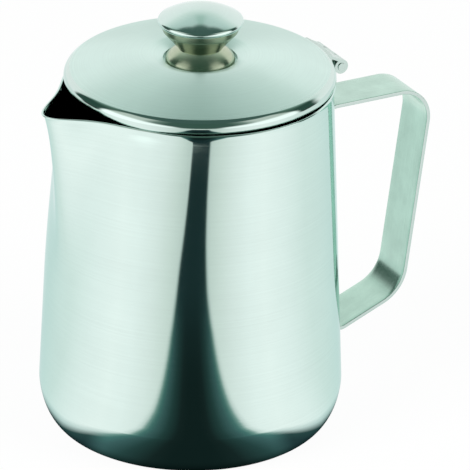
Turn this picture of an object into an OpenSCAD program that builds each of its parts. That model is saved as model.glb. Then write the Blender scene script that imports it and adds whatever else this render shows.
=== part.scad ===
// Hot milk jug with a hinged lid, in stainless steel.
// Z is up and the jug stands on z = 0, with its axis on the Z axis.
// The handle is towards +X and the spout towards -X. The lid's hinge lies along Y.

/* [Jug body] */
// Radius of the flat that the jug stands on
base_r = 51; // [44:0.5:56]
// Height of the rounded foot
foot_h = 17; // [12:0.5:22]
// Fullness of the foot's curve, where 2 is an ellipse
foot_power = 1.8; // [1.5:0.1:3]
// Largest radius, at the top of the foot
belly_r = 59; // [57:0.5:66]
// Radius of the wall at the rim, before the lip flares
rim_r = 53.4; // [51:0.2:56]
// Height of the rim
rim_z = 140.2; // [132:0.2:160]
// Sheet thickness of the jug
wall_t = 1; // [0.8:0.1:1.4]
// How far the lip flares out past the wall
lip_flare = 0.8; // [0.4:0.1:1.1]
// Height over which the lip flares
lip_h = 2.6; // [2:0.1:4]

/* [Spout] */
// Depth of the spout's gully, measured out from the wall
gully_depth = 7; // [4:0.2:8]
// Extra reach where the gully kicks out to the pouring tip
tip_kick = 3.8; // [2:0.2:6]
// How far the flanks beside the spout are pinched in at the rim
flank_pinch = 1.4; // [0.6:0.1:2]
// How far the whole front of the rim is drawn in with them
front_draw = 3.4; // [1:0.2:3.8]
// Half width of the gully at the rim, in degrees about the jug's axis
gully_deg = 8.4; // [6:0.1:10]
// Half width of the gully at its foot
gully_foot_deg = 5.6; // [4.5:0.1:8]
// Height at which the gully starts to grow out of the wall
gully_foot_z = 61; // [45:1:66]
// Height over which the gully reaches its depth
gully_run = 95; // [70:1:100]
// How far the tip dips below the rim
spout_droop = 1.6; // [0:0.1:3]

/* [Handle] */
// Width of the strap
strap_w = 19; // [16:0.5:24]
// Thickness of the strap
strap_t = 1.6; // [1.4:0.1:2.4]
// Depth of the strap's top face below the rim
strap_drop = 17.4; // [16:0.2:22]
// Reach of the handle's upper corner past the belly
grip_reach_top = 42.8; // [36:0.2:48]
// Reach of the handle's lower corner past the belly
grip_reach_low = 31.4; // [26:0.2:36]
// Height of the handle's lower corner
grip_low_z = 36; // [33:0.5:42]
// Height at which the strap's lower face meets the wall
strap_low_z = 23.2; // [21:0.2:30]
// Outer bend radius at the handle's upper corner
bend_top = 13.5; // [9:0.5:18]
// Outer bend radius at the handle's lower corner
bend_low = 16.5; // [10:0.5:20]
// Outer bend radius where the strap turns along the wall
bend_pad = 4; // [3:0.25:6]
// Length of the pads that are welded to the wall
pad_len = 22; // [16:1:26]

/* [Lid] */
// Largest radius of the lid, at its rolled edge
lid_r = 52; // [50:0.2:54]
// Shift of the lid's centre towards the handle
lid_shift = 2.7; // [1.5:0.1:4]
// Gap between the rim and the closed lid
lid_gap = 0.45; // [0.3:0.05:1]
// Sheet thickness of the lid
lid_t = 0.9; // [0.7:0.1:1.2]
// Radius of the lid's rolled edge
edge_r = 3.8; // [3:0.1:4.4]
// How far the rolled edge curls in under its widest line, in degrees
edge_curl = 25; // [10:1:35]
// Rise of the dome above its edge
dome_rise = 6.3; // [4:0.1:9]
// Radius of the dome's highest ring
crest_r = 23; // [21:0.5:25]
// Radius of the roll from the crest into the well
crest_roll = 12; // [10:0.5:14]
// Depth of the well's floor below the crest
well_depth = 4.3; // [3.9:0.1:5]

/* [Hinge] */
// Distance of the hinge axis behind the lid's edge
hinge_out = 4.3; // [4:0.1:6]
// Gap between the knuckles and the jug's lip
hinge_gap = 1.9; // [1.2:0.1:3]
// Depth of the hinge axis below the rim
hinge_drop = 1.5; // [0.8:0.1:2.2]
// Outer radius of the knuckles
knuckle_r = 2.9; // [2.4:0.1:3]
// Radius of the hinge pin
pin_r = 1.5; // [1.2:0.05:1.7]
// Overall length of the barrel
barrel_len = 20; // [16:0.5:24]
// Length of the middle knuckle
middle_len = 7.4; // [5:0.2:9]
// Thickness of the leaf and of the bracket
leaf_t = 1.1; // [0.8:0.1:1.4]
// Radial clearance of the pin in the knuckles
pin_clear = 0.05; // [0.03:0.01:0.08]
// Gap between neighbouring knuckles
knuckle_gap = 0.35; // [0.3:0.05:0.6]
// Height of the bracket's pad on the wall
bracket_pad_h = 9; // [6:0.5:11]
// Width of the bracket's pad
bracket_pad_w = 16; // [12:0.5:18]

/* [Knob] */
// Radius of the bell-shaped foot of the knob
bell_r = 13.6; // [11:0.2:14]
// Height of the bell
bell_h = 6.3; // [5:0.1:8]
// Radius of the waist between bell and neck
waist_r = 7; // [5.5:0.1:8]
// Radius of the neck's lower edge
neck_low_r = 8.6; // [7.4:0.1:9.5]
// Radius of the neck under the cap
neck_top_r = 14.5; // [12:0.1:15]
// Height of the neck
neck_h = 10.4; // [8:0.2:13]
// Height of the upright collar at the top of the neck
collar_h = 3.2; // [2:0.1:4]
// Largest radius of the cap
cap_r = 16.3; // [15.8:0.1:18]
// Height of the cap's rounded side
cap_side_h = 2.8; // [2.2:0.1:3.6]
// Rise of the cap's crown above its side
cap_rise = 4.8; // [2.4:0.1:6]
// Sheet thickness of the cap
cap_t = 0.9; // [0.7:0.1:1.2]
// Radius of the screw's shank
screw_r = 2; // [1.5:0.1:2.5]
// Radius of the screw's head
screw_head_r = 3.8; // [3.2:0.1:4.6]
// Height of the screw's head
screw_head_h = 2.4; // [1.8:0.1:2.8]
// Radius of the washer
washer_r = 6; // [5:0.25:8]
// Thickness of the washer
washer_t = 0.8; // [0.6:0.1:1.2]
// Clearance between pieces that are assembled together
fit_clear = 0.05; // [0.03:0.01:0.1]

/* [Hidden] */
$fn = 96;
bend_steps = 12;
steel = [0.80, 0.86, 0.84];
satin = [0.74, 0.80, 0.78];
turned = [0.66, 0.67, 0.60];

// How fast the tip's kick, the pinched flanks and the drawn-in front die away down the
// wall, and the angles over which flanks and front run out into the round wall
kick_run = 14.2;
pinch_run = 9.5;
pinch_low = 0.5;
draw_power = 1.8;
pinch_full_deg = 38;
flank_end_deg = 62;
front_end_deg = 125;
round_deg = 90;

// Places that several pieces share
strap_z = rim_z - strap_drop;
lid_z = rim_z + lid_gap;
edge_z = lid_z + edge_r * sin(edge_curl);
dome_edge_deg = 66;
dome_edge_r = lid_r - edge_r + edge_r * cos(dome_edge_deg);
dome_edge_z = edge_z + edge_r * sin(dome_edge_deg);
crest_z = dome_edge_z + dome_rise;
well_z = crest_z - well_depth;
hinge_x = max(lid_shift + lid_r + hinge_out, rim_r + lip_flare + hinge_gap + knuckle_r);
hinge_z = rim_z - hinge_drop;
bell_top_z = well_z + bell_h;
neck_top_z = bell_top_z + neck_h;
cap_low_r = neck_top_r + fit_clear;

// Points of an arc about a centre, from one angle to another
function arc(centre, r, from, to, steps) =
    [for (i = [0:steps]) let (a = from + (to - from) * i / steps) centre + r * [cos(a), sin(a)]];

// Unit vector at an angle
function heading(a) = [cos(a), sin(a)];

// Points of an outline moved to its left by t, mitred at each point
function inset(points, t) = [
    for (i = [0:len(points) - 1])
        let (a = points[max(i - 1, 0)], b = points[i], c = points[min(i + 1, len(points) - 1)])
        let (u = i == 0 ? (c - b) / norm(c - b) : (b - a) / norm(b - a))
        let (v = i == len(points) - 1 ? u : (c - b) / norm(c - b))
        let (m = [-u.y - v.y, u.x + v.x])
        b + m * 2 * t / (m * m)];

function reversed(points) = [for (i = [len(points) - 1:-1:0]) points[i]];

// Outer radius of the plain wall at a height, as one straight taper
function wall_r(z) = belly_r + (rim_r - belly_r) * (z - foot_h) / (rim_z - foot_h);

// Flare of the lip at a height, growing with the square of the rise
function flare(z) = lip_flare * pow(max(0, (z - rim_z + lip_h) / lip_h), 2);

// A foot curve between two heights: a quarter of a superellipse
function foot(r_low, r_top, z_low, z_top, steps) = [
    for (i = [0:steps])
        let (a = 90 * i / steps, p = 2 / foot_power)
        [r_low + (r_top - r_low) * pow(sin(a), p), z_top - (z_top - z_low) * pow(cos(a), p)]];

// Rows of the section: through the spout's height, then through the lip
gully_steps = 8;
lip_steps = 2;
row_power = 1.4;
column_power = 1.5;
gully_rows = [for (i = [0:gully_steps - 1])
    gully_foot_z + (rim_z - lip_h - gully_foot_z) * (1 - pow(1 - i / gully_steps, row_power))];
lip_rows = [for (i = [0:lip_steps]) rim_z - lip_h + (lip_h - wall_t / 2) * i / lip_steps];
rows = concat(gully_rows, lip_rows);
inner_rows = [for (i = [len(rows) - 1:-2:0]) rows[i]];
foot_steps = 6;

// Section of the jug: from the base up the wall, over the rim and down to the floor inside
jug_section = concat(
    foot(base_r, belly_r, 0, foot_h, foot_steps),
    [for (z = rows) [wall_r(z) + flare(z), z]],
    arc([wall_r(rim_z) + flare(rim_z) - wall_t / 2, rim_z - wall_t / 2], wall_t / 2, 30, 150, 2),
    [for (z = inner_rows) [wall_r(z) + flare(z) - wall_t, z]],
    reversed(foot(base_r, belly_r - wall_t, wall_t, foot_h, foot_steps)));

// 0 before the start, 1 after the end and a smooth step between them
function smooth(x, start, end) =
    let (s = min(1, max(0, (x - start) / (end - start))))
    s * s * (3 - 2 * s);

// Share of the gully's depth that is reached at a height
function grown(z) = smooth(z, gully_foot_z, gully_foot_z + gully_run);

// Ridge across the gully: a hyperbolic secant of the angle, cut off where the wall is round
function ridge(a, z) =
    let (w = gully_foot_deg + (gully_deg - gully_foot_deg) * grown(z))
    2 / (exp(a / w) + exp(-a / w)) * (1 - smooth(abs(a), flank_end_deg, round_deg));

// Inward move of the flanks beside the spout at an angle and a height
function pinch(a, z) = flank_pinch * grown(z) * (1 - smooth(abs(a), pinch_full_deg, flank_end_deg))
    * (pinch_low + (1 - pinch_low) * exp((z - rim_z) / pinch_run));

// Inward move of the whole front, which runs out further back
function draw(a, z) = front_draw * (1 - smooth(abs(a), pinch_full_deg, front_end_deg))
    * pow(max(0, (z - gully_foot_z) / (rim_z - gully_foot_z)), draw_power);

function inward(a, z) = pinch(a, z) + draw(a, z);

// Outward move of the wall at an angle from the spout and a height
function bulge(a, z) =
    let (depth = grown(z) * (gully_depth + tip_kick * exp((z - rim_z) / kick_run)))
    (depth + inward(0, z)) * ridge(a, z) - inward(a, z);

// Dip of the rim towards the tip
function droop(a, z) = spout_droop * grown(z) * exp((z - rim_z) / kick_run) * ridge(a, z);

// Point of the jug's skin, from a section point and an angle from the spout
function skin_point(p, a) =
    let (r = p.x + bulge(a, p.y))
    [-r * cos(a), r * sin(a), p.y - droop(a, p.y)];

// Angles of the section's columns, closest together across the gully and even round the back
spout_columns = 56;
back_columns = 40;
column_deg = concat(
    [for (j = [0:spout_columns])
        let (s = 2 * j / spout_columns - 1)
        round_deg * sign(s) * pow(abs(s), column_power)],
    [for (j = [1:back_columns - 1]) round_deg + (360 - 2 * round_deg) * j / back_columns]);

module jug_body() {
    n = len(jug_section);
    m = len(column_deg);
    points = concat(
        [for (a = column_deg) for (p = jug_section) skin_point(p, a)],
        [[0, 0, 0], [0, 0, wall_t]]);
    base_mid = n * m;
    floor_mid = base_mid + 1;
    skin = [for (j = [0:m - 1]) for (i = [0:n - 2])
        let (a = j * n + i, b = (j + 1) % m * n + i)
        each [[a, a + 1, b + 1], [a, b + 1, b]]];
    ends = [for (j = [0:m - 1])
        let (a = j * n, b = (j + 1) % m * n)
        each [[base_mid, a, b], [floor_mid, b + n - 1, a + n - 1]]];
    color(steel) polyhedron(points, concat(skin, ends), convexity = 8);
}

// The space inside the jug's outer taper, which trims what seats on the wall
module taper_core() {
    rotate_extrude() polygon([[0, foot_h], [wall_r(foot_h), foot_h], [wall_r(rim_z), rim_z], [0, rim_z]]);
}

// Pad over the wall between two heights, towards +X, still to be trimmed to the wall
module wall_pad(low, high, t, w) {
    intersection() {
        rotate_extrude() polygon([
            [wall_r(low) - t, low], [wall_r(low) + t, low],
            [wall_r(high) + t, high], [wall_r(high) - t, high]]);
        translate([0, -w / 2, low - t]) cube([2 * belly_r, w, high - low + 2 * t]);
    }
}

// Lays a drawing in X and Z out along Y, centred
module across(w) {
    rotate([90, 0, 0]) linear_extrude(w, center = true) children();
}

// Angle turned at a corner of a path, clockwise as positive
function turn(a, b, c) =
    let (u = b - a, v = c - b)
    atan2(u.y * v.x - u.x * v.y, u * v);

// Edge of a strap at a depth to the right of its path, bent at each inner corner
function strap_edge(path, radii, depth) = [
    for (i = [1:len(path) - 2])
        let (u = (path[i] - path[i - 1]) / norm(path[i] - path[i - 1]))
        let (a = turn(path[i - 1], path[i], path[i + 1]))
        let (v = [u.y, -u.x])
        let (start = atan2(u.x, -u.y))
        each arc(path[i] - u * radii[i - 1] * tan(a / 2) + v * radii[i - 1],
                 radii[i - 1] - depth, start, start - a, bend_steps)];

// Strap drawn along the right of a path, from its first bend to its last
module strap(path, radii, t) {
    polygon(concat(strap_edge(path, radii, 0), reversed(strap_edge(path, radii, t))));
}

module handle() {
    upper_wall = wall_r(strap_z);
    lower_wall = wall_r(strap_low_z);
    path = [
        [upper_wall, strap_z - pad_len],
        [upper_wall, strap_z],
        [belly_r + grip_reach_top, strap_z],
        [belly_r + grip_reach_low, grip_low_z],
        [lower_wall, strap_low_z],
        [lower_wall, strap_low_z + pad_len]];
    color(satin) difference() {
        union() {
            across(strap_w) strap(path, [bend_pad, bend_top, bend_low, bend_pad], strap_t);
            wall_pad(strap_z - bend_pad - pad_len, strap_z - bend_pad, strap_t, strap_w);
            wall_pad(strap_low_z + bend_pad, strap_low_z + bend_pad + pad_len, strap_t, strap_w);
        }
        taper_core();
    }
}

// Knuckle of the hinge in X and Z
module knuckle() {
    translate([hinge_x, hinge_z]) circle(knuckle_r);
}

// Bore that the pin passes through
module pin_bore() {
    translate([hinge_x, 0, hinge_z]) rotate([90, 0, 0])
        cylinder(h = 2 * barrel_len, r = pin_r + pin_clear, center = true);
}

// Plate in X and Z from a point to the knuckle, which it meets on the left or right of the way,
// a little inside the knuckle's round
weld_bite = leaf_t / 6;
module knuckle_plate(from, side) {
    d = [hinge_x, hinge_z] - from;
    reach = knuckle_r - weld_bite;
    a = atan2(d.y, d.x) + side * asin(reach / norm(d));
    along = heading(a) * sqrt(d * d - reach * reach);
    thick = side * heading(a - 90) * leaf_t;
    polygon([from, from + along, from + along + thick, from + thick]);
}

module hinge_bracket() {
    pad_top = rim_z - lip_h - knuckle_r - leaf_t;
    color(satin) difference() {
        union() {
            wall_pad(pad_top - bracket_pad_h, pad_top, leaf_t, bracket_pad_w);
            across(middle_len) {
                knuckle_plate([wall_r(pad_top) - leaf_t, pad_top - 2 * leaf_t], -1);
                knuckle();
            }
        }
        taper_core();
        pin_bore();
    }
}

// How far the pin's ends stand out of the barrel
pin_proud = leaf_t / 3;

module hinge_pin() {
    color(satin) translate([hinge_x, 0, hinge_z]) rotate([90, 0, 0])
        cylinder(h = barrel_len + 2 * pin_proud, r = pin_r, center = true);
}

// Section of the lid's outside, from under the rolled edge over the dome into the well
edge_steps = 8;
dome_steps = 10;
roll_steps = 6;
roll_end = 46;
roll_r = crest_r - crest_roll * sin(roll_end);
roll_z = crest_z - crest_roll * (1 - cos(roll_end));
lid_outline = concat(
    arc([lid_r - edge_r, edge_z], edge_r, -edge_curl, dome_edge_deg, edge_steps),
    [for (i = [1:dome_steps])
        let (s = 1 - i / dome_steps)
        [crest_r + (dome_edge_r - crest_r) * s, crest_z - dome_rise * s * s]],
    [for (i = [1:roll_steps])
        [crest_r, crest_z - crest_roll] + crest_roll * heading(90 + roll_end * i / roll_steps)],
    [[roll_r - (roll_z - well_z) / tan(roll_end), well_z], [0, well_z]]);

// Turns a section about the lid's axis
module about_lid() {
    translate([lid_shift, 0, 0]) rotate_extrude() children();
}

module lid_shell() {
    color(steel) difference() {
        about_lid() polygon(concat(lid_outline, reversed(inset(lid_outline, lid_t))));
        translate([lid_shift, 0, well_z - 2 * lid_t])
            cylinder(h = 3 * lid_t, r = screw_r + 2 * fit_clear);
    }
}

// Angles up the rolled edge at which the leaf leaves it and its pad ends
leaf_deg = 45;
pad_deg = 30;

// The space under the lid's outside, which trims what seats on the rolled edge
module lid_core() {
    about_lid() polygon(concat([[0, lid_z]], [lid_outline[0] - [lid_t, 0]], lid_outline));
}

module hinge_leaf() {
    plate_start = [lid_shift + lid_r - 2 * leaf_t, edge_z + edge_r * sin(leaf_deg)];
    pad_low = lid_z + lid_gap;
    pad_h = edge_z + edge_r * sin(pad_deg) - pad_low;
    color(satin) difference() {
        union() {
            across(barrel_len) knuckle_plate(plate_start, 1);
            across(barrel_len) knuckle();
            intersection() {
                translate([lid_shift, 0, pad_low]) difference() {
                    cylinder(h = pad_h, r = lid_r + leaf_t);
                    translate([0, 0, -pad_h]) cylinder(h = 3 * pad_h, r = lid_r - 2 * leaf_t);
                }
                translate([lid_shift, -barrel_len / 2, pad_low]) cube([2 * lid_r, barrel_len, pad_h]);
            }
        }
        lid_core();
        translate([hinge_x, 0, hinge_z]) rotate([90, 0, 0])
            cylinder(h = middle_len + 2 * knuckle_gap, r = knuckle_r + knuckle_gap, center = true);
        pin_bore();
    }
}

// Fullness of the bell's side
bell_power = 1.5;
bell_steps = 8;

module knob_base() {
    bore = screw_r + fit_clear;
    side = [for (i = [0:bell_steps])
        let (s = i / bell_steps)
        [waist_r + (bell_r - waist_r) * (1 - pow(s, bell_power)), well_z + bell_h * s]];
    color(turned) about_lid() polygon(concat([[bore, well_z]], side, [[bore, bell_top_z]]));
}

// Depths below the top of the neck at which the screw's bore and the screw end
bore_end = 2;
screw_end = 3;

module knob_neck() {
    bore = screw_r + fit_clear;
    bore_top = neck_top_z - bore_end;
    edge = (neck_low_r - waist_r) / 4;
    color(turned) about_lid() polygon([
        [bore, bell_top_z], [waist_r, bell_top_z], [neck_low_r, bell_top_z + edge],
        [neck_top_r, neck_top_z - collar_h], [neck_top_r, neck_top_z],
        [0, neck_top_z], [0, bore_top], [bore, bore_top]]);
}

// Section of the cap's outside, from its lip up the rounded side and over the crown
cap_lip_z = neck_top_z - cap_t;
cap_side_r = cap_side_h / 2;
cap_crown_deg = 55;
cap_lip_deg = -75;
cap_steps = 8;
cap_edge = [cap_r - cap_side_r, cap_lip_z + cap_side_r] + cap_side_r * heading(cap_crown_deg);
cap_outline = concat(
    arc([cap_r - cap_side_r, cap_lip_z + cap_side_r], cap_side_r, cap_lip_deg, cap_crown_deg, cap_steps),
    [for (i = [1:cap_steps])
        let (s = 1 - i / cap_steps)
        [cap_edge.x * s, cap_edge.y + cap_rise * (1 - s * s)]]);

module knob_cap() {
    inner = inset(cap_outline, cap_t);
    hollow = [for (p = inner) if (p.y > neck_top_z) [max(0, min(p.x, cap_r - 2 * cap_t)), p.y]];
    color(steel) about_lid() polygon(concat(
        [[cap_low_r, cap_lip_z]], cap_outline, reversed(hollow),
        [[hollow[0].x, neck_top_z], [cap_low_r, neck_top_z]]));
}

module knob_screw() {
    under = well_z - lid_t - washer_t;
    tip = neck_top_z - screw_end;
    color(satin) translate([lid_shift, 0, 0]) {
        translate([0, 0, under]) cylinder(h = tip - under, r = screw_r);
        translate([0, 0, under - screw_head_h]) cylinder(h = screw_head_h, r = screw_head_r);
    }
}

module knob_washer() {
    color(satin) translate([lid_shift, 0, well_z - lid_t - washer_t]) difference() {
        cylinder(h = washer_t, r = washer_r);
        translate([0, 0, -washer_t]) cylinder(h = 3 * washer_t, r = screw_r + fit_clear);
    }
}

jug_body();
handle();
hinge_bracket();
hinge_pin();
lid_shell();
hinge_leaf();
knob_base();
knob_neck();
knob_cap();
knob_screw();
knob_washer();
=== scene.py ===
import bpy
import math
import numpy as np
from mathutils import Matrix, Vector


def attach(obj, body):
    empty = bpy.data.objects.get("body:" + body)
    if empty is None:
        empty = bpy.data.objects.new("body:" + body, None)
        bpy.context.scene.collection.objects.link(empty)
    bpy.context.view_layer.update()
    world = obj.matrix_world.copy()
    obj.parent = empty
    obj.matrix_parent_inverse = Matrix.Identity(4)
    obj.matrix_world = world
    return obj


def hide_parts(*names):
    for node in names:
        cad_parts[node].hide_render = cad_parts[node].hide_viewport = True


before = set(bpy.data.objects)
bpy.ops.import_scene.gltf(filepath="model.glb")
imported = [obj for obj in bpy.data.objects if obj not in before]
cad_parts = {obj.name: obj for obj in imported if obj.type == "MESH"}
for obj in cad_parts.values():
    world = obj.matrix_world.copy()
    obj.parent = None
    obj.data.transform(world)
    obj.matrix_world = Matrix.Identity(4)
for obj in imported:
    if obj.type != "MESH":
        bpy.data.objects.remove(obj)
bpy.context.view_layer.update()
scene = bpy.context.scene

# The jug's body: one drawn and spun sheet of stainless steel, a tapered wall on a rounded
# foot, with its lip flared and its spout pulled out of the wall over a former. Pieces are
# sized in millimetres, and angles about the jug's axis are in degrees from the spout.
MM = 0.001
BASE_R, FOOT_H, FOOT_POWER = 51.0, 17.0, 1.8
BELLY_R, RIM_R, RIM_Z = 59.0, 53.4, 140.2
SHEET, LIP_FLARE, LIP_H = 1.0, 0.8, 2.6
SPOUT_FOOT, SPOUT_GROWTH = 61.0, 95.0
GULLY_DEPTH, GULLY_WIDTH, GULLY_SPREAD, GULLY_END = 7.0, 5.6, 2.8, (62, 90)
TIP_KICK, TIP_DIP, KICK_H = 3.8, 1.6, 14.2
FLANK_GIVE, FLANK_H, FLANK_END = 1.4, 9.5, (38, 62)
FRONT_GIVE, FRONT_POWER, FRONT_END = 3.4, 1.8, (38, 125)


def smooth(x, start, end):
    """0 before start, 1 after end, and 3t^2 - 2t^3 of the share t between them."""
    t = np.clip((x - start) / (end - start), 0, 1)
    return t * t * (3 - 2 * t)


def wall_r(z):
    """Radius of the plain taper: a straight line from the belly to the rim."""
    return BELLY_R + (RIM_R - BELLY_R) * (z - FOOT_H) / (RIM_Z - FOOT_H)


def lip(z):
    """Flare of the lip: the square of the share of its height that is climbed."""
    return LIP_FLARE * np.maximum(0, (z - RIM_Z + LIP_H) / LIP_H) ** 2


def foot(low_r, top_r, low_z, top_z, steps):
    """Quarter of a superellipse: sine and cosine raised to 2 over the power."""
    t = np.linspace(0, math.pi / 2, steps)
    p = 2 / FOOT_POWER
    r = low_r + (top_r - low_r) * np.sin(t) ** p
    return np.stack([r, top_z - (top_z - low_z) * np.abs(np.cos(t)) ** p], -1)


def arc(centre, radius, start, end, steps):
    """Points of a circle from one angle to another, in degrees."""
    t = np.radians(np.linspace(start, end, steps))
    return np.array(centre) + radius * np.stack([np.cos(t), np.sin(t)], -1)


def drawn_in(a, z, grown):
    """How far the wall gives beside the spout: a plateau on both flanks that is strongest near
    the rim, and a broad draw over the front that grows with a power of the height."""
    flank = FLANK_GIVE * grown * (0.5 + 0.5 * np.exp((z - RIM_Z) / FLANK_H))
    climbed = np.maximum(0, (z - SPOUT_FOOT) / (RIM_Z - SPOUT_FOOT))
    front = FRONT_GIVE * climbed ** FRONT_POWER
    away = np.abs(a)
    return flank * (1 - smooth(away, *FLANK_END)) + front * (1 - smooth(away, *FRONT_END))


def pulled(r, z, a):
    """The spout: the wall moves out by a hyperbolic secant of the angle from the spout, whose
    height grows up the wall and kicks out at the rim, and in by what the flanks give."""
    grown = smooth(z, SPOUT_FOOT, SPOUT_FOOT + SPOUT_GROWTH)
    ridge = 1 / np.cosh(a / (GULLY_WIDTH + GULLY_SPREAD * grown))
    ridge = ridge * (1 - smooth(np.abs(a), *GULLY_END))
    kick = np.exp((z - RIM_Z) / KICK_H)
    out = grown * (GULLY_DEPTH + TIP_KICK * kick) + drawn_in(0 * a, z, grown)
    return r + out * ridge - drawn_in(a, z, grown), z - TIP_DIP * grown * kick * ridge


def solid(name, points, faces, crease=35):
    """A mesh object from points in millimetres, smooth but for edges sharper than crease."""
    mesh = bpy.data.meshes.new(name)
    mesh.from_pydata(np.asarray(points) * MM, [], faces)
    mesh.validate()
    mesh.shade_smooth()
    mesh.set_sharp_from_angle(angle=math.radians(crease))
    obj = bpy.data.objects.new(name, mesh)
    scene.collection.objects.link(obj)
    return obj


def loop_faces(rows, columns):
    """Quads of a grid that closes round its columns."""
    i = np.arange(rows - 1)[:, None]
    j = np.arange(columns)[None, :]
    k, m = i + 1, (j + 1) % columns
    quads = np.stack([i * columns + j, i * columns + m, k * columns + m, k * columns + j], -1)
    return quads.reshape(-1, 4).tolist()


def fans(rows, columns):
    """Triangles that close a grid's first and last row onto the two points after the grid."""
    j = np.arange(columns)
    m = (j + 1) % columns
    end = (rows - 1) * columns
    low = np.stack([m, j, np.full(columns, rows * columns)], -1)
    high = np.stack([end + j, end + m, np.full(columns, rows * columns + 1)], -1)
    return low.tolist() + high.tolist()


BASE_RINGS, FLOOR_RINGS = (8, 20, 34, 46, 50.2), (46, 30, 12)
wall_z = np.concatenate([np.linspace(FOOT_H, SPOUT_FOOT, 14)[1:],
                         np.linspace(SPOUT_FOOT, RIM_Z - LIP_H, 70)[1:],
                         np.linspace(RIM_Z - LIP_H, RIM_Z - SHEET / 2, 11)[1:]])
inner_z = wall_z[::-1][1::2]
lip_middle = (wall_r(RIM_Z) + lip(RIM_Z) - SHEET / 2, RIM_Z - SHEET / 2)
section = np.concatenate([
    np.stack([BASE_RINGS, np.zeros(len(BASE_RINGS))], -1),
    foot(BASE_R, BELLY_R, 0, FOOT_H, 36),
    np.stack([wall_r(wall_z) + lip(wall_z), wall_z], -1),
    arc(lip_middle, SHEET / 2, 10, 170, 9),
    np.stack([wall_r(inner_z) + lip(inner_z) - SHEET, inner_z], -1),
    foot(BASE_R, BELLY_R - SHEET, SHEET, FOOT_H, 16)[::-1],
    np.stack([FLOOR_RINGS, np.full(len(FLOOR_RINGS), SHEET)], -1)])
# Columns crowd towards the spout: part of the angle grows evenly, part with a power.
EVEN, CROWDED, CROWD_POWER = 0.45, 0.55, 2.2
share = np.linspace(-1, 1, 400, endpoint=False)
away = np.abs(share)
angle = 180 * np.sign(share) * (EVEN * away + CROWDED * away ** CROWD_POWER)
r, z = pulled(section[:, :1], section[:, 1:], angle[None, :])
turn = np.radians(angle)[None, :]
skin = np.stack([-r * np.cos(turn), r * np.sin(turn), z], -1)
rows, columns = skin.shape[:2]
points = np.concatenate([skin.reshape(-1, 3), [[0, 0, 0], [0, 0, SHEET]]])
faces = [f[::-1] for f in loop_faces(rows, columns) + fans(rows, columns)]
body = solid("jug_shell", points, faces, crease=50)


def node(tree, kind, **settings):
    """A shader node with its settings: a name of an input, or a property of the node."""
    made = tree.nodes.new(kind)
    for key, value in settings.items():
        if key in made.inputs:
            made.inputs[key].default_value = value
        else:
            setattr(made, key, value)
    return made


def steel(name, colour, roughness, grain, centre=0.0, coords="Object", rings=False, spread=0.25,
          bump=0.02, lines=0.03, smudge=0.03, smudge_size=38.0, grazing=(1, 1, 1), turned=0.0):
    """Stainless steel: fine lines left by polishing, stretched by the grain's scale or run in
    rings round the centre, carry roughness, a little relief and a little tone; broad faint
    smudges carry colour. On a turned piece the lines run round its axis and draw each
    reflection out across them."""
    mat = bpy.data.materials.new(name)
    mat.use_nodes = True
    tree = mat.node_tree
    link = tree.links.new
    bsdf = tree.nodes["Principled BSDF"]
    bsdf.inputs["Metallic"].default_value = 1.0
    bsdf.inputs["Specular Tint"].default_value = (*grazing, 1)
    if turned:
        bsdf.inputs["Anisotropic"].default_value = turned
        bsdf.inputs["Anisotropic Rotation"].default_value = 0.25
        round_axis = node(tree, "ShaderNodeTangent", direction_type="RADIAL", axis="Z")
        link(round_axis.outputs[0], bsdf.inputs["Tangent"])
    where = node(tree, "ShaderNodeTexCoord")
    along = node(tree, "ShaderNodeMapping", Scale=grain, Location=(-centre * grain[0], 0, 0))
    streak = node(tree, "ShaderNodeTexNoise", Scale=1.0, Detail=3.0, Roughness=0.6)
    link(where.outputs[coords], along.inputs["Vector"])
    if rings:
        streak.noise_dimensions = "1D"
        radius = node(tree, "ShaderNodeVectorMath", operation="LENGTH")
        link(along.outputs["Vector"], radius.inputs[0])
        link(radius.outputs["Value"], streak.inputs["W"])
    else:
        link(along.outputs["Vector"], streak.inputs["Vector"])
    rough = node(tree, "ShaderNodeMapRange", **{"To Min": roughness * (1 - spread),
                                                "To Max": roughness * (1 + spread)})
    link(streak.outputs["Fac"], rough.inputs["Value"])
    link(rough.outputs["Result"], bsdf.inputs["Roughness"])
    relief = node(tree, "ShaderNodeBump", Strength=bump, Distance=0.2 * MM)
    link(streak.outputs["Fac"], relief.inputs["Height"])
    link(relief.outputs["Normal"], bsdf.inputs["Normal"])
    broad = node(tree, "ShaderNodeTexNoise", Scale=smudge_size, Detail=4.0, Roughness=0.55)
    link(where.outputs["Object"], broad.inputs["Vector"])
    tint = node(tree, "ShaderNodeValToRGB")
    for stop, at, part in zip(tint.color_ramp.elements, (0.3, 0.7), (1 - smudge, 1 + smudge)):
        stop.position = at
        stop.color = (*(min(1, c * part) for c in colour), 1)
    link(broad.outputs["Fac"], tint.inputs["Fac"])
    tone = node(tree, "ShaderNodeMapRange", **{"From Min": 0.25, "From Max": 0.75,
                                               "To Min": 1 - lines, "To Max": 1.0})
    link(streak.outputs["Fac"], tone.inputs["Value"])
    lined = node(tree, "ShaderNodeVectorMath", operation="SCALE")
    link(tint.outputs["Color"], lined.inputs[0])
    link(tone.outputs["Result"], lined.inputs["Scale"])
    link(lined.outputs["Vector"], bsdf.inputs["Base Color"])
    return mat


HOOPS = (12.0, 12.0, 2300.0)
body.data.materials.append(steel("polished_shell", (0.765, 0.91, 0.86), 0.065, HOOPS, lines=0.04,
                                 smudge=0.02, grazing=(0.80, 0.91, 0.90)))
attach(body, "jug")
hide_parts("jug_body")

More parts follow.
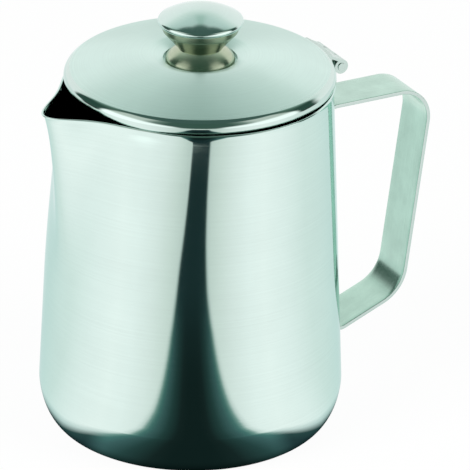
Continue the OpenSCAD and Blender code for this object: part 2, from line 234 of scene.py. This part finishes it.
# The handle: flat steel strip with rounded edges, bent to a four-sided loop, with both ends
# turned along the wall and curved to it, where they are spot-welded.
STRAP_W, STRAP_T, PAD = 19.0, 1.6, 26.0
STRAP_Z, STRAP_LOW_Z = RIM_Z - 17.4, 23.2
GRIP_TOP, GRIP_LOW, GRIP_LOW_Z = 42.8, 31.4, 36.0
BENDS = (4.0, 13.5, 16.5, 4.0)
ROUNDED, FLAT, FLAT_ROWS = 0.28, 7.5, 7
HUG_START, HUG_END = 1.0, 4.5


def bent(path, radii, depth, steps):
    """A path whose corners are arcs, moved to its right by depth; every corner turns
    clockwise. An arc starts its radius times the tangent of half the turn before the corner."""
    out = [path[0]]
    for p, q, s, radius in zip(path, path[1:], path[2:], radii):
        u, v = (q - p) / np.linalg.norm(q - p), (s - q) / np.linalg.norm(s - q)
        turned = math.acos(np.clip(u @ v, -1, 1))
        right = np.array([u[1], -u[0]])
        centre = q - u * radius * math.tan(turned / 2) + right * radius
        t = math.atan2(-right[1], -right[0]) - np.linspace(0, turned, steps)
        out.append(centre + (radius - depth) * np.stack([np.cos(t), np.sin(t)], -1))
    return np.concatenate([np.atleast_2d(p) for p in out] + [path[-1:]])


def spread_out(line, step):
    """Extra points along a polyline, so that no stretch is longer than step."""
    far = np.concatenate([[0], np.cumsum(np.linalg.norm(np.diff(line, axis=0), axis=1))])
    at = np.union1d(far, np.linspace(0, far[-1], int(far[-1] / step)))
    return np.stack([np.interp(at, far, line[:, k]) for k in range(2)], -1), at


def face_middles(obj):
    """Middles of a piece's faces, in millimetres."""
    middles = np.zeros(len(obj.data.polygons) * 3)
    obj.data.polygons.foreach_get("center", middles)
    return middles.reshape(-1, 3) / MM


pad_low, pad_high = STRAP_Z - PAD, STRAP_LOW_Z + PAD
corners = np.array([[wall_r(pad_low), pad_low], [wall_r(STRAP_Z), STRAP_Z],
                    [BELLY_R + GRIP_TOP, STRAP_Z], [BELLY_R + GRIP_LOW, GRIP_LOW_Z],
                    [wall_r(STRAP_LOW_Z), STRAP_LOW_Z], [wall_r(pad_high), pad_high]])
line, run = spread_out(bent(corners, BENDS, STRAP_T / 2, 20), 2.0)
ahead = np.gradient(line, axis=0)
ahead /= np.linalg.norm(ahead, axis=1)[:, None]
side = np.stack([ahead[:, 1], -ahead[:, 0]], -1)
line[0] += side[0] * STRAP_T / 2
line[-1] += side[-1] * STRAP_T / 2
near_y, near_z = STRAP_W / 2 - ROUNDED, STRAP_T / 2 - ROUNDED
ring = np.concatenate([
    arc((near_y, near_z), ROUNDED, 0, 90, 5),
    np.stack([np.linspace(FLAT, -FLAT, FLAT_ROWS), np.full(FLAT_ROWS, STRAP_T / 2)], -1),
    arc((-near_y, near_z), ROUNDED, 90, 180, 5),
    arc((-near_y, -near_z), ROUNDED, 180, 270, 5),
    np.stack([np.linspace(-FLAT, FLAT, FLAT_ROWS), np.full(FLAT_ROWS, -STRAP_T / 2)], -1),
    arc((near_y, -near_z), ROUNDED, 270, 360, 5)])
# Where the strip lies on the wall, it takes the wall's curve: the wall's radius less the root
# of its square minus that of the place across the strip.
wall = wall_r(line[:, 1])[:, None]
hug = 1 - smooth(line[:, :1] - wall, HUG_START, HUG_END)
curve = wall - np.sqrt(wall ** 2 - ring[None, :, 0] ** 2)
x = line[:, :1] - side[:, :1] * ring[None, :, 1] - hug * curve
y = np.broadcast_to(ring[None, :, 0], x.shape)
z = line[:, 1:] - side[:, 1:] * ring[None, :, 1]
rows, columns = x.shape
caps = [list(range(columns)), list(range((rows - 1) * columns, rows * columns))[::-1]]
points = np.stack([x, y, z], -1).reshape(-1, 3)
faces = [f[::-1] for f in loop_faces(rows, columns)] + caps
strap = solid("strap_handle", points, faces, crease=40)
uv = strap.data.uv_layers.new(name="strip")
corner = np.zeros(len(strap.data.loops), dtype=np.int32)
strap.data.loops.foreach_get("vertex_index", corner)
strip = np.stack([run[corner // columns], y.reshape(-1)[corner]], -1) * MM
uv.data.foreach_set("uv", strip.ravel())
ALONG_STRIP, ALL_WAYS = (25.0, 1400.0, 1.0), (900.0, 900.0, 900.0)
strap.data.materials.append(steel("satin_strap", (0.57, 0.78, 0.68), 0.22, ALONG_STRIP,
                                  coords="UV", lines=0.07, smudge=0.09, smudge_size=85.0))
strap.data.materials.append(steel("cut_edge", (0.65, 0.75, 0.71), 0.2, ALL_WAYS))
on_edge = np.abs(face_middles(strap)[:, 1]) > STRAP_W / 2 - 0.02
strap.data.polygons.foreach_set("material_index", on_edge.astype(np.int32))
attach(strap, "jug")
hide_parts("handle")

# The hinge: a bracket welded on the wall carries the middle knuckle, a leaf on the lid's
# rolled edge carries the two outer ones, and a round pin runs through all three.
ALONG_PIN = (700.0, 60.0, 700.0)
for name in ("hinge_bracket", "hinge_pin", "hinge_leaf"):
    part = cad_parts[name]
    part.data.materials.clear()
    part.data.materials.append(steel("satin_" + name, (0.62, 0.74, 0.69), 0.22, ALONG_PIN,
                                     smudge=0.05))

# The lid: a pressed steel disc with its edge rolled over and a low dome, brushed in rings.
# Its middle is dished, with a recess that the knob stands in, and is pressed to a cone below.
# It lies a little towards the handle, where the hinge holds it.
LID_X, LID_R, LID_T = 2.7, 52.0, 0.9
LID_Z = RIM_Z + 0.45
EDGE_R, EDGE_START, EDGE_END, EDGE_SEAT = 3.8, -28, 66, 25
CREST_R, ROLL, DOME_H, DOME_POWER = 21.3, 4.5, 5.8, 1.5
WELL_DEPTH, WELL_DEG, HUB_R = 3.8, 45, 6.0
DISH_DEG, DISH_SET, SEAT_R = 18, 0.8, 14.2


def turned_piece(name, profile, centre=(0.0, 0.0), columns=256, crease=35):
    """A profile of radius and height turned about an upright axis; it starts and ends on the
    axis, where each end closes on one point."""
    t = np.linspace(0, 2 * math.pi, columns, endpoint=False)[None, :]
    r, z = profile[1:-1, :1], profile[1:-1, 1:]
    grid = np.stack([centre[0] + r * np.cos(t), centre[1] + r * np.sin(t), z + 0 * t], -1)
    rows = len(grid)
    poles = [[*centre, profile[0, 1]], [*centre, profile[-1, 1]]]
    points = np.concatenate([grid.reshape(-1, 3), poles])
    return solid(name, points, loop_faces(rows, columns) + fans(rows, columns), crease)


edge_middle = (LID_R - EDGE_R, LID_Z + EDGE_R * math.sin(math.radians(EDGE_SEAT)))
edge = arc(edge_middle, EDGE_R, EDGE_START, EDGE_END, 28)
edge_in_r = edge[-1, 0]
crest_z = edge[-1, 1] + DOME_H
well_z = crest_z - WELL_DEPTH
s = np.linspace(1, 0, 60)[1:]
dome = np.stack([CREST_R + (edge_in_r - CREST_R) * s, crest_z - DOME_H * s ** DOME_POWER], -1)
roll = arc((CREST_R, crest_z - ROLL), ROLL, 90, 90 + WELL_DEG, 18)[1:]
cone_r = roll[-1, 0] - (roll[-1, 1] - well_z) / math.tan(math.radians(WELL_DEG))
pressed = np.concatenate([edge, dome, roll, [
    [cone_r + 0.3, well_z + 0.2], [cone_r - 0.3, well_z], [HUB_R, well_z], [0, well_z]]])
# The underside lies one thickness square to the pressed line.
step = np.gradient(pressed, axis=0)
step /= np.linalg.norm(step, axis=1)[:, None]
under = pressed + LID_T * np.stack([-step[:, 1], step[:, 0]], -1)
under[-1] = [0, well_z - LID_T]
brow = arc((CREST_R - DISH_SET, crest_z - ROLL), ROLL, 90, 90 + DISH_DEG, 12)[1:]
seat_z = brow[-1, 1] - (brow[-1, 0] - SEAT_R) * math.tan(math.radians(DISH_DEG))
top = np.concatenate([edge, dome, brow, [
    [SEAT_R + 0.2, seat_z + 0.08], [SEAT_R, seat_z - 0.1], [SEAT_R, well_z], [HUB_R, well_z],
    [0, well_z]]])
hem = arc((top[0] + under[0]) / 2, LID_T / 2, -195, -25, 9)
profile = np.concatenate([under[::-1][:-1], hem, top])
lid = turned_piece("lid_pressing", profile, (LID_X, 0.0), 320)
RINGS = (1500.0, 1500.0, 0.0)
lid.data.materials.append(steel("satin_lid", (0.72, 0.91, 0.845), 0.31, RINGS, centre=LID_X * MM,
                                rings=True, lines=0.05, spread=0.1, turned=0.9))
lid.data.materials.append(steel("bright_edge", (0.72, 0.86, 0.81), 0.06, RINGS,
                                centre=LID_X * MM, rings=True))
middles = face_middles(lid)
on_edge = np.hypot(middles[:, 0] - LID_X, middles[:, 1]) > edge_in_r
lid.data.polygons.foreach_set("material_index", on_edge.astype(np.int32))
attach(lid, "lid")
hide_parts("lid_shell")

# The knob: a bell-shaped foot and a funnel-shaped neck, both turned and polished, under a
# domed satin cap with a turned lip. A screw from under the lid holds them together.
BELL_R, WAIST_R, BELL_H, BELL_FOOT, BELL_EASE = 13.3, 8.5, 6.3, 1.1, 0.4
NECK_LOW_R, NECK_R, NECK_H = 8.6, 14.5, 10.4
FUNNEL_FOOT, FUNNEL_H, FUNNEL_TOP = 0.4, 6.8, 7.4
CAP_R, CAP_BORE, CAP_T, CAP_SIDE_R, CROWN_H = 16.3, 14.55, 0.9, 1.4, 4.8
bell_top = well_z + BELL_H
neck_top = bell_top + NECK_H
s = np.linspace(0, 1, 30)
bell = np.stack([WAIST_R + (BELL_R - WAIST_R) * (1 - s ** 2),
                 well_z + BELL_FOOT + (BELL_H - BELL_FOOT) * s], -1)
bell = np.concatenate([
    [[0, well_z], [BELL_R - BELL_EASE, well_z], [BELL_R, well_z + BELL_EASE]],
    bell, [[0, bell_top]]])
knob_base = turned_piece("knob_bell", bell, (LID_X, 0.0), crease=20)
s = np.linspace(0.03, 0.97, 16)
funnel = np.stack([NECK_LOW_R + (NECK_R - NECK_LOW_R) * s,
                   bell_top + FUNNEL_FOOT + FUNNEL_H * s], -1)
neck = np.concatenate([
    [[0, bell_top], [WAIST_R, bell_top], [NECK_LOW_R, bell_top + 0.3]], funnel,
    [[NECK_R, bell_top + FUNNEL_TOP], [NECK_R, neck_top], [0, neck_top]]])
knob_neck = turned_piece("knob_funnel", neck, (LID_X, 0.0))
lip_z = neck_top - CAP_T
cap_side = arc((CAP_R - CAP_SIDE_R, lip_z + CAP_SIDE_R), CAP_SIDE_R, -75, 55, 22)
s = np.linspace(1, 0, 40)[1:]
crown = np.stack([cap_side[-1, 0] * s, cap_side[-1, 1] + CROWN_H * (1 - s * s)], -1)
cap = np.concatenate([
    [[0, neck_top + 0.4], [CAP_BORE, neck_top + 0.4], [CAP_BORE, lip_z + 0.1],
     [CAP_BORE + 0.15, lip_z]], cap_side, crown])
knob_cap = turned_piece("knob_dome", cap, (LID_X, 0.0))
TURNED_LINES = (60.0, 60.0, 2600.0)
# The neck has the bell's finish, but its tone is set darker: painted shade on the neck.
for piece, name, tone, rough in ((knob_base, "turned_bell", (0.55, 0.63, 0.46), 0.25),
                                 (knob_neck, "turned_neck_painted_shade", (0.40, 0.47, 0.34), 0.23)):
    piece.data.materials.append(steel(name, tone, rough, TURNED_LINES, lines=0.12, bump=0.03,
                                      smudge=0.05, spread=0.1, turned=0.85))
knob_cap.data.materials.append(steel("satin_cap", (0.73, 0.88, 0.83), 0.12, RINGS,
                                     centre=LID_X * MM, rings=True))
for piece, part, finish in ((knob_base, "knob_base", "knob"), (knob_neck, "knob_neck", "knob"),
                            (knob_cap, "knob_cap", "lid")):
    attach(piece, "lid")
    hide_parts(part)
# The brushed lid shows nothing of the neck and cap above it, so reflections pass them by.
knob_neck.visible_glossy = knob_cap.visible_glossy = False
for name in ("knob_screw", "knob_washer"):
    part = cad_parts[name]
    part.data.materials.clear()
    part.data.materials.append(steel("plain_" + name, (0.60, 0.62, 0.60), 0.3,
                                     (800.0, 800.0, 800.0)))

# The floor: plain white with the jug's shadow. What the steel shows of it is a painted reflection,
# a glow that all rays but the camera's see: white that dims beside a dark runner painted under the
# jug and leading towards the camera, with painted shadow round the jug's foot. Distances on it are
# in metres and bearings in degrees from the way to the camera.
AZ = math.radians(-28.3)
DEGREES = 180 / math.pi
FLOOR_HALF = 6
toward = Vector((math.sin(AZ), -math.cos(AZ), 0))
across = Vector((math.cos(AZ), math.sin(AZ), 0))


def sums(tree):
    """Short ways to add a calculation to a node tree: one node for each sum, an input being a
    number or another node's output."""
    def feed(sockets, values):
        """Each value goes to its socket, by a link where it is another node's output."""
        for socket, value in zip(sockets, values):
            if isinstance(value, bpy.types.NodeSocket):
                tree.links.new(value, socket)
            else:
                socket.default_value = value

    def calc(kind, *values):
        """One sum of one or two values."""
        made = node(tree, "ShaderNodeMath", operation=kind)
        feed(made.inputs, values)
        return made.outputs[0]

    def along_of(vector, direction):
        """How far a vector reaches along a direction: their dot product."""
        made = node(tree, "ShaderNodeVectorMath", operation="DOT_PRODUCT")
        feed(made.inputs, (vector, direction))
        return made.outputs["Value"]

    def eased(value, start, end, low=0.0, high=1.0):
        """Low before start, high after end, and 3t^2 - 2t^3 of the way between them."""
        made = node(tree, "ShaderNodeMapRange", interpolation_type="SMOOTHSTEP")
        feed(made.inputs, (value, start, end, low, high))
        return made.outputs[0]

    def between(value, rise, fall):
        """Up to 1 over the rise and back to 0 over the fall: one eased step times another."""
        return calc("MULTIPLY", eased(value, *rise), eased(value, *fall, 1.0, 0.0))

    def ramp(value, start, end, stops):
        """Colours at the given places between start and end, joined by straight lines."""
        made = node(tree, "ShaderNodeValToRGB")
        places = made.color_ramp.elements
        while len(places) < len(stops):
            places.new(1.0)
        for stop, (at, colour) in zip(places, stops):
            stop.position = (at - start) / (end - start)
            stop.color = (*colour, 1) if isinstance(colour, tuple) else (*[colour] * 3, 1)
        share = node(tree, "ShaderNodeMapRange")
        feed(share.inputs, (value, start, end, 0.0, 1.0))
        tree.links.new(share.outputs[0], made.inputs["Fac"])
        return made.outputs["Color"]

    def blended(share, first, second):
        """The first colour times one minus the share, plus the second times the share."""
        made = node(tree, "ShaderNodeMix", data_type="RGBA")
        feed((made.inputs[0], made.inputs[6], made.inputs[7]), (share, first, second))
        return made.outputs[2]

    return calc, along_of, eased, between, ramp, blended


mat = bpy.data.materials.new("floor_white")
mat.use_nodes = True
tree = mat.node_tree
tree.nodes.clear()
calc, along_of, eased, between, ramp, blended = sums(tree)
place = node(tree, "ShaderNodeTexCoord").outputs["Object"]
ahead_m, beside = along_of(place, toward), along_of(place, across)
far_m = calc("SQRT", calc("ADD", calc("MULTIPLY", ahead_m, ahead_m),
                          calc("MULTIPLY", beside, beside)))
bearing = calc("MULTIPLY", calc("ABSOLUTE", calc("ARCTAN2", beside, ahead_m)), DEGREES)
white = ramp(bearing, 0, 180, [
    (0, (0.62, 0.66, 0.63)), (9, (0.62, 0.67, 0.64)), (17, (0.73, 0.77, 0.74)),
    (28, (0.86, 0.88, 0.87)), (40, (0.96, 0.97, 0.97)), (52, 1.0), (70, (0.93, 0.95, 0.95)),
    (92, (0.80, 0.86, 0.845)), (130, (0.76, 0.83, 0.82)), (160, (0.85, 0.9, 0.895)), (180, 1.0)])
# The runner's half width on each side, in tenths of a metre, by the distance ahead.
RUNNER_END, RUNNER_BACK, JUG_SHADE_R = 0.70, 0.02, 0.058
left = ramp(ahead_m, 0, RUNNER_END, [
    (0, 0.57), (0.07, 0.47), (0.12, 0.43), (0.216, 0.47), (0.34, 0.57), (0.52, 0.58), (0.7, 0.63)])
right = ramp(ahead_m, 0, RUNNER_END, [
    (0, 0.56), (0.12, 0.52), (0.28, 0.53), (0.38, 0.60), (0.49, 0.72), (0.56, 0.81), (0.7, 1.0)])
is_left = calc("LESS_THAN", beside, 0.0)
is_right = calc("SUBTRACT", 1.0, is_left)
width = calc("MULTIPLY", 0.1, calc("ADD", calc("MULTIPLY", left, is_left),
                                   calc("MULTIPLY", right, is_right)))
# How deep a place lies within the painted runner's edge, and the painted tone there: soft near the
# jug, and darker and crisper out on the runner and on the floor that shows at the jug's flanks.
EDGE_OUT, EDGE_IN, FLANK_SHIFT = -0.008, 0.04, 0.0025
depth = calc("SUBTRACT", width, calc("ABSOLUTE", beside))
depth = calc("MINIMUM", depth, calc("SUBTRACT", RUNNER_END, ahead_m))
depth = calc("MINIMUM", depth, calc("ADD", ahead_m, RUNNER_BACK))
# Out to JUG_SHADE_R from the jug's middle the runner's dark takes in a disc: painted shade where
# the jug meets the floor.
depth = calc("MAXIMUM", depth, calc("SUBTRACT", JUG_SHADE_R, far_m))
by_flank = calc("MULTIPLY", eased(bearing, 38, 52), eased(far_m, 0.10, 0.14, 1.0, 0.0))
depth = calc("ADD", depth, calc("MULTIPLY", by_flank, FLANK_SHIFT))
near = ramp(depth, EDGE_OUT, EDGE_IN, [
    (-0.008, 1.0), (-0.003, (0.75, 0.80, 0.79)), (0, (0.22, 0.37, 0.34)),
    (0.004, (0.08, 0.20, 0.19)), (0.010, (0.06, 0.133, 0.136)), (0.020, (0.027, 0.067, 0.066)),
    (0.032, (0.013, 0.027, 0.027)), (0.04, (0.01, 0.023, 0.023))])
deep = ramp(depth, EDGE_OUT, EDGE_IN, [
    (-0.008, 1.0), (-0.002, (0.7, 0.75, 0.75)), (0.004, (0.03, 0.07, 0.07)),
    (0.01, (0.02, 0.045, 0.05)), (0.04, (0.018, 0.042, 0.046))])
runner = blended(calc("MAXIMUM", eased(ahead_m, 0.14, 0.32), by_flank), near, deep)
# Painted shadow under and round the jug's foot; far out, the reflected floor is painted lighter in
# a panel on each side and darker in a slit past it.
FOOT_SHADOW_TONE, PANEL_LIFT, SLIT_DROP = 0.10, 0.2, 0.93
foot_painted_shadow = eased(far_m, 0.049, 0.059, FOOT_SHADOW_TONE, 1.0)
distant = eased(far_m, 0.9, 1.3)
slit = between(bearing, (86, 92), (106, 114))
panel = between(bearing, (14, 24), (80, 86))
change = calc("SUBTRACT", calc("MULTIPLY", panel, PANEL_LIFT), calc("MULTIPLY", slit, SLIT_DROP))
strength = calc("MULTIPLY", foot_painted_shadow, calc("ADD", 1.0, calc("MULTIPLY", distant, change)))
lit = node(tree, "ShaderNodeVectorMath", operation="MULTIPLY")
tree.links.new(white, lit.inputs[0])
tree.links.new(runner, lit.inputs[1])
shown = node(tree, "ShaderNodeVectorMath", operation="SCALE")
tree.links.new(lit.outputs[0], shown.inputs[0])
tree.links.new(strength, shown.inputs["Scale"])
reflected = node(tree, "ShaderNodeEmission", Strength=1.0)
tree.links.new(shown.outputs[0], reflected.inputs["Color"])
# The eye sees an even white, with a little matt paint in it that takes the jug's shadow.
matt = node(tree, "ShaderNodeBsdfDiffuse", Color=(0.95, 0.95, 0.95, 1))
glow = node(tree, "ShaderNodeEmission", Color=(1, 1, 1, 1), Strength=1.0)
seen = node(tree, "ShaderNodeMixShader", Fac=0.95)
tree.links.new(matt.outputs[0], seen.inputs[1])
tree.links.new(glow.outputs[0], seen.inputs[2])
path = node(tree, "ShaderNodeLightPath")
both = node(tree, "ShaderNodeMixShader")
tree.links.new(path.outputs["Is Camera Ray"], both.inputs[0])
tree.links.new(reflected.outputs[0], both.inputs[1])
tree.links.new(seen.outputs[0], both.inputs[2])
tree.links.new(both.outputs[0], node(tree, "ShaderNodeOutputMaterial").inputs[0])
mesh = bpy.data.meshes.new("floor")
mesh.from_pydata([(-FLOOR_HALF, -FLOOR_HALF, 0), (FLOOR_HALF, -FLOOR_HALF, 0),
                  (FLOOR_HALF, FLOOR_HALF, 0), (-FLOOR_HALF, FLOOR_HALF, 0)], [], [(0, 1, 2, 3)])
mesh.materials.append(mat)
floor = bpy.data.objects.new("floor", mesh)
scene.collection.objects.link(floor)

# The studio round it: white for the eye. The steel shows a white sweep behind that dims
# upwards, low white screens in front, and a dark room above and between them. Heights and
# bearings are in degrees, from the floor and from the way to the camera.
world = bpy.data.worlds.new("studio")
scene.world = world
world.use_nodes = True
tree = world.node_tree
tree.nodes.clear()
calc, along_of, eased, between, ramp, blended = sums(tree)
ray = node(tree, "ShaderNodeTexCoord").outputs["Generated"]
height = calc("MULTIPLY", calc("ARCSINE", along_of(ray, (0, 0, 1))), DEGREES)
swing = calc("MULTIPLY", calc("ARCTAN2", along_of(ray, across), along_of(ray, toward)), DEGREES)
bearing = calc("ABSOLUTE", swing)
# The sweep, which stands lower towards its sides, with a dimmer wedge high in its middle.
WEDGE_SHARE, WEDGE_TONE = 0.47, (0.28, 0.45, 0.38, 1)
rise = calc("ADD", height, eased(bearing, 115, 150, 18.0, 0.0))
sweep = ramp(rise, -5, 90, [
    (-5, 0.93), (25, 0.92), (36, (0.88, 0.90, 0.89)), (46, (0.71, 0.79, 0.76)),
    (58, (0.57, 0.68, 0.65)), (70, (0.52, 0.63, 0.60)), (73, (0.42, 0.51, 0.48)),
    (76, (0.10, 0.15, 0.13)), (90, 0.10)])
wedge = calc("MULTIPLY", eased(bearing, 163, 178), eased(height, 46, 59))
sweep = blended(calc("MULTIPLY", wedge, WEDGE_SHARE), sweep, WEDGE_TONE)
# The room between sweep and screens: dark low down, and paler above the screens' far ends.
LOW_TONE, HIGH_TONE = (0.03, 0.07, 0.055, 1), (0.06, 0.11, 0.095, 1)
aloft = ramp(bearing, 0, 180, [
    (0, (0.05, 0.10, 0.08)), (28, (0.06, 0.11, 0.09)), (40, (0.18, 0.24, 0.21)),
    (52, (0.58, 0.61, 0.57)), (84, (0.60, 0.63, 0.59)), (94, (0.08, 0.14, 0.11)),
    (108, (0.08, 0.14, 0.11)), (120, (0.2, 0.3, 0.26))])
over_gap = calc("MAXIMUM", eased(height, 30, 48), eased(bearing, 84, 92, 1.0, 0.0))
gap = blended(over_gap, LOW_TONE, aloft)
# The screens, whose top edge climbs away from the camera; its height is a share of 90 degrees.
SCREEN_TONE = (1.2, 1.2, 1.2, 1)
top_edge = ramp(bearing, 0, 180, [
    (0, 0.0), (15, 0.0), (30, 0.10), (45, 0.18), (60, 0.25), (75, 0.27)])
over = calc("SUBTRACT", height, calc("MULTIPLY", top_edge, 90.0))
screen = calc("MULTIPLY", eased(over, -6, 12, 1.0, 0.0), between(bearing, (11, 24), (84, 91)))
room = blended(screen, gap, SCREEN_TONE)
# The sweep's side edges lean inwards as they climb, with a slot low in the left one.
leant = calc("SUBTRACT", bearing, eased(height, 12, 44, 0.0, 16.0))
slot = calc("MULTIPLY", between(swing, (-126, -119), (-110, -105)),
            eased(height, 26, 34, 1.0, 0.0))
behind = calc("MAXIMUM", calc("SUBTRACT", eased(leant, 105, 117), slot), 0.0)
room = blended(behind, room, sweep)
room = blended(eased(rise, 70, 77), room, HIGH_TONE)
path = node(tree, "ShaderNodeLightPath")
sky = node(tree, "ShaderNodeBackground", Strength=1.0)
tree.links.new(blended(path.outputs["Is Camera Ray"], room, (1, 1, 1, 1)), sky.inputs["Color"])
tree.links.new(sky.outputs[0], node(tree, "ShaderNodeOutputWorld").inputs[0])

# The light: two broad soft boxes on stands, left and right of the camera, turned to the jug.
# The steel shows the painted studio only, so reflections pass the boxes by.
BOX_SIZE, AIM = 1.2, Vector((0, 0, 0.08))
for name, place, power in (("left_box", toward * 1.3 - across * 1.5 + Vector((0, 0, 1.5)), 36),
                           ("right_box", toward * 0.9 + across * 1.7 + Vector((0, 0, 1.4)), 30)):
    lamp = bpy.data.lights.new(name, "AREA")
    lamp.size = BOX_SIZE
    lamp.energy = power
    box = bpy.data.objects.new(name, lamp)
    box.location = place
    box.rotation_euler = (AIM - place).to_track_quat("-Z", "Y").to_euler()
    box.visible_glossy = False
    scene.collection.objects.link(box)

# The camera: it stands far off with a long lens, at the photograph's angle and with its slight
# tilt. The point at the jug's mid height lies left of the picture's middle, so it looks past it.
EL, TILT = math.radians(25.28), math.radians(0.67)
PX_PER_MM, FAR_MM, PICTURE, SENSOR = 2.5909, 2000, 470, 36.0
MID_Z, MID_AT = 0.075, (191.89, 236.24)
focal = PX_PER_MM * FAR_MM
look = (PICTURE / 2 - MID_AT[0], MID_AT[1] - PICTURE / 2)
fwd = -(toward * math.cos(EL)) - Vector((0, 0, math.sin(EL)))
up = Vector((0, 0, math.cos(EL))) - toward * math.sin(EL)
off = (look[0] * math.cos(TILT) - look[1] * math.sin(TILT),
       look[0] * math.sin(TILT) + look[1] * math.cos(TILT))
gaze = (fwd + across * (off[0] / focal) + up * (off[1] / focal)).normalized()
tall = up * math.cos(TILT) - across * math.sin(TILT)
wide = gaze.cross(tall).normalized()
tall = wide.cross(gaze)
lens = bpy.data.cameras.new("camera")
lens.sensor_width = SENSOR
lens.lens = focal / PICTURE * SENSOR
lens.clip_end = 50
camera = bpy.data.objects.new("camera", lens)
place = Vector((0, 0, MID_Z)) - fwd * (FAR_MM * MM)
camera.matrix_world = Matrix((
    (wide.x, tall.x, -gaze.x, place.x), (wide.y, tall.y, -gaze.y, place.y),
    (wide.z, tall.z, -gaze.z, place.z), (0, 0, 0, 1)))
scene.collection.objects.link(camera)
scene.camera = camera

scene.view_settings.view_transform = "Standard"
